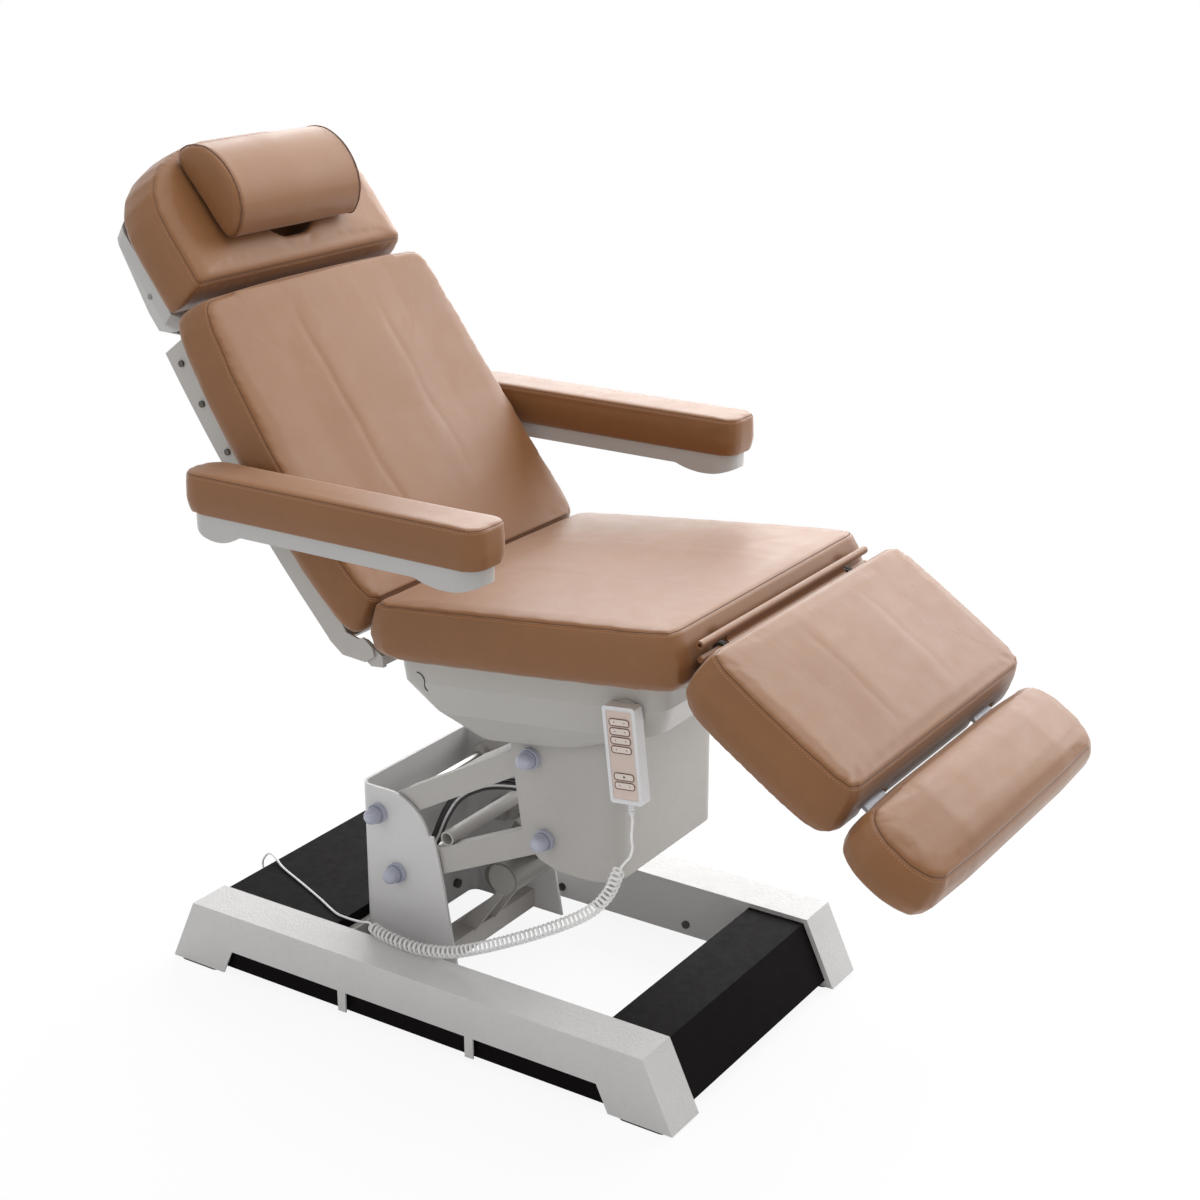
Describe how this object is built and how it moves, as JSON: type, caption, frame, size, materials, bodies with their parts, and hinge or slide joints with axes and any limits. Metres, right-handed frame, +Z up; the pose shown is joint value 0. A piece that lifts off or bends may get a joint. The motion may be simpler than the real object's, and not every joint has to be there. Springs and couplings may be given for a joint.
{
  "type": "treatment chair",
  "caption": "Powered treatment chair: padded seat, back, leg, foot and head sections and pivoting armrests on a parallel-arm lift and steel base, with a wired handset.",
  "frame": {"origin": "on the floor under the middle of the chair's bounding box, without its cord", "axes": "+Z up, the foot end towards -Y, the head end towards +Y, the person's right side at -X"},
  "size_m": [0.827, 1.5643, 1.4249],
  "materials": {
    "base_rail_right": "fine textured white powder coat",
    "base_rail_left": "fine textured white powder coat",
    "rail_skirts": "satin black powder coat",
    "front_cross_cover": "satin black powder coat",
    "rear_cross_cover": "satin black powder coat",
    "rear_cross_beam": "satin black powder coat",
    "foot_pads": "matt",
    "base_screws": "satin black powder coat",
    "lift_bracket": "satin light grey powder coat",
    "cross_angle": "satin light grey powder coat",
    "rear_pivot_pins": "turned",
    "rear_pivot_caps": "satin blue-grey",
    "control_unit": "moulded",
    "cord_gland": "matt",
    "cord_tail": "satin white",
    "cord_curls": "satin white",
    "cord_lead": "satin white",
    "upper_link": "satin light grey powder coat",
    "lower_link": "satin light grey powder coat",
    "column_housing": "satin light grey powder coat",
    "front_pivot_pins": "turned",
    "front_pivot_caps": "satin blue-grey",
    "lift_actuator": "satin light grey powder coat",
    "lift_motor": "satin light grey powder coat",
    "lift_rod": "turned",
    "seat_frame": "satin light grey powder coat",
    "seat_board": "black-stained plywood",
    "seat_cushion": "tan leatherette over foam",
    "seat_shell": "satin light grey moulding",
    "handset_holder": "satin light grey powder coat",
    "hinge_roll": "tan leatherette over foam",
    "back_actuator": "moulded",
    "leg_actuator": "moulded",
    "back_frame": "satin light grey powder coat",
    "back_board": "black-stained plywood",
    "back_cushion": "tan leatherette over foam",
    "back_screws": "turned",
    "armrest_brackets": "satin light grey powder coat",
    "back_rod": "turned",
    "leg_frame": "satin light grey powder coat",
    "leg_cushion": "tan leatherette over foam",
    "leg_rod": "turned",
    "foot_bars": "turned",
    "foot_cushion": "tan leatherette over foam",
    "head_shell": "satin white moulding",
    "head_cushion": "tan leatherette over foam",
    "head_pillow": "tan leatherette over foam",
    "armrest_shell_right": "satin white moulding",
    "armrest_pad_right": "tan leatherette over foam",
    "armrest_shell_left": "satin white moulding",
    "armrest_pad_left": "tan leatherette over foam",
    "handset_case": "satin white moulding",
    "handset_panel": "beige-pink membrane",
    "strain_relief": "satin white",
    "key_1": "beige-pink membrane",
    "key_2": "beige-pink membrane",
    "key_3": "beige-pink membrane",
    "key_4": "beige-pink membrane",
    "key_5": "beige-pink membrane",
    "key_6": "beige-pink membrane"
  },
  "bodies": {
    "base": {"base_rail_right": "base_rail_right", "base_rail_left": "base_rail_left", "rail_skirts": "rail_skirts", "front_cross_cover": "front_cross_cover", "rear_cross_cover": "rear_cross_cover", "rear_cross_beam": "rear_cross_beam", "foot_pads": "foot_pads", "base_screws": "base_screws", "lift_bracket": "lift_bracket", "cross_angle": "cross_angle", "rear_pivot_pins": "rear_pivot_pins", "rear_pivot_caps": "rear_pivot_caps", "control_unit": "control_unit", "cord_gland": "cord_gland", "cord_tail": "cord_tail", "cord_curls": "cord_curls", "cord_lead": "cord_lead"},
    "upper_arm": {"upper_link": "upper_link"},
    "lower_arm": {"lower_link": "lower_link"},
    "column": {"column_housing": "column_housing", "front_pivot_pins": "front_pivot_pins", "front_pivot_caps": "front_pivot_caps"},
    "lift_body": {"lift_actuator": "lift_actuator", "lift_motor": "lift_motor"},
    "lift_ram": {"lift_rod": "lift_rod"},
    "seat": {"seat_frame": "seat_frame", "seat_board": "seat_board", "seat_cushion": "seat_cushion", "seat_shell": "seat_shell", "handset_holder": "handset_holder", "hinge_roll": "hinge_roll", "back_actuator": "back_actuator", "leg_actuator": "leg_actuator"},
    "back": {"back_frame": "back_frame", "back_board": "back_board", "back_cushion": "back_cushion", "back_screws": "back_screws", "armrest_brackets": "armrest_brackets"},
    "back_ram": {"back_rod": "back_rod"},
    "leg": {"leg_frame": "leg_frame", "leg_cushion": "leg_cushion"},
    "leg_ram": {"leg_rod": "leg_rod"},
    "foot": {"foot_bars": "foot_bars", "foot_cushion": "foot_cushion"},
    "head": {"head_shell": "head_shell", "head_cushion": "head_cushion"},
    "pillow": {"head_pillow": "head_pillow"},
    "arm_right": {"armrest_shell_right": "armrest_shell_right", "armrest_pad_right": "armrest_pad_right"},
    "arm_left": {"armrest_shell_left": "armrest_shell_left", "armrest_pad_left": "armrest_pad_left"},
    "handset": {"handset_case": "handset_case", "handset_panel": "handset_panel", "strain_relief": "strain_relief"},
    "key_1_body": {"key_1": "key_1"},
    "key_2_body": {"key_2": "key_2"},
    "key_3_body": {"key_3": "key_3"},
    "key_4_body": {"key_4": "key_4"},
    "key_5_body": {"key_5": "key_5"},
    "key_6_body": {"key_6": "key_6"}
  },
  "joints": [
    {"name": "lift", "type": "hinge", "parent": "base", "child": "lower_arm", "pos_m": [0, 0.281, 0.215], "axis": [-1, 0, 0], "range_deg": [-31, 0], "deforming": ["cord_curls", "cord_lead"]},
    {"name": "upper_arm_pivot", "type": "hinge", "parent": "base", "child": "upper_arm", "pos_m": [0, 0.318, 0.318], "axis": [-1, 0, 0], "range_deg": [-29.1, 0]},
    {"name": "column_pivot", "type": "hinge", "parent": "lower_arm", "child": "column", "pos_m": [0, -0.02896, 0.35954], "axis": [-1, 0, 0], "range_deg": [0, 24.3]},
    {"name": "lift_body_pivot", "type": "hinge", "parent": "base", "child": "lift_body", "pos_m": [0, 0.145, 0.18], "axis": [-1, 0, 0], "range_deg": [-33.6, 0]},
    {"name": "lift_ram_slide", "type": "slide", "parent": "lift_body", "child": "lift_ram", "axis": [0, -0.5114, 0.8593], "range_m": [-0.0946, 0]},
    {"name": "seat_tilt", "type": "hinge", "parent": "column", "child": "seat", "pos_m": [0, -0.06492, 0.64009], "axis": [1, 0, 0], "range_deg": [-2, 9]},
    {"name": "back_recline", "type": "hinge", "parent": "seat", "child": "back", "pos_m": [0, 0.24647, 0.67212], "axis": [-1, 0, 0], "range_deg": [0, 59]},
    {"name": "back_ram_slide", "type": "slide", "parent": "seat", "child": "back_ram", "axis": [0, 0.9988, -0.0493], "range_m": [-0.0656, 0]},
    {"name": "leg_lift", "type": "hinge", "parent": "seat", "child": "leg", "pos_m": [0, -0.37456, 0.77891], "axis": [1, 0, 0], "range_deg": [-39.9, 8]},
    {"name": "leg_ram_slide", "type": "slide", "parent": "seat", "child": "leg_ram", "axis": [0, -0.9666, 0.2564], "range_m": [-0.0098, 0.0482]},
    {"name": "foot_slide", "type": "slide", "parent": "leg", "child": "foot", "axis": [0, -0.8329, -0.5534], "range_m": [0, 0.14]},
    {"name": "head_tilt", "type": "hinge", "parent": "back", "child": "head", "pos_m": [0, 0.62524, 1.15684], "axis": [1, 0, 0], "range_deg": [-25, 2]},
    {"name": "pillow_slide", "type": "slide", "parent": "head", "child": "pillow", "axis": [0, 0.6032, 0.7976], "range_m": [-0.012, 0.02]},
    {"name": "armrest_right_pivot", "type": "hinge", "parent": "back", "child": "arm_right", "pos_m": [-0.344, 0.41775, 0.88744], "axis": [-1, 0, 0], "range_deg": [-59, 75]},
    {"name": "armrest_left_pivot", "type": "hinge", "parent": "back", "child": "arm_left", "pos_m": [0.344, 0.41775, 0.88744], "axis": [-1, 0, 0], "range_deg": [-59, 75]},
    {"name": "handset_lift_off", "type": "slide", "parent": "seat", "child": "handset", "axis": [0, 0, 1], "range_m": [0, 0.012]},
    {"name": "key_1_press", "type": "slide", "parent": "handset", "child": "key_1_body", "axis": [1, 0, 0], "range_m": [0, 0.0006], "stiffness_N_per_m": 1500, "springref_m": -0.0003},
    {"name": "key_2_press", "type": "slide", "parent": "handset", "child": "key_2_body", "axis": [1, 0, 0], "range_m": [0, 0.0006], "stiffness_N_per_m": 1500, "springref_m": -0.0003},
    {"name": "key_3_press", "type": "slide", "parent": "handset", "child": "key_3_body", "axis": [1, 0, 0], "range_m": [0, 0.0006], "stiffness_N_per_m": 1500, "springref_m": -0.0003},
    {"name": "key_4_press", "type": "slide", "parent": "handset", "child": "key_4_body", "axis": [1, 0, 0], "range_m": [0, 0.0006], "stiffness_N_per_m": 1500, "springref_m": -0.0003},
    {"name": "key_5_press", "type": "slide", "parent": "handset", "child": "key_5_body", "axis": [1, 0, 0], "range_m": [0, 0.0006], "stiffness_N_per_m": 1500, "springref_m": -0.0003},
    {"name": "key_6_press", "type": "slide", "parent": "handset", "child": "key_6_body", "axis": [1, 0, 0], "range_m": [0, 0.0006], "stiffness_N_per_m": 1500, "springref_m": -0.0003}
  ],
  "couplings": [
    {"joint": "upper_arm_pivot", "follows": "lift", "ratio": 0.93831},
    {"joint": "column_pivot", "follows": "lift", "ratio": -0.78332},
    {"joint": "lift_body_pivot", "follows": "lift", "ratio": 1.0804},
    {"joint": "lift_ram_slide", "follows": "lift", "m_per_rad": 0.17456},
    {"joint": "back_ram_slide", "follows": "back_recline", "m_per_rad": -0.0635},
    {"joint": "leg_ram_slide", "follows": "leg_lift", "m_per_rad": -0.069}
  ]
}
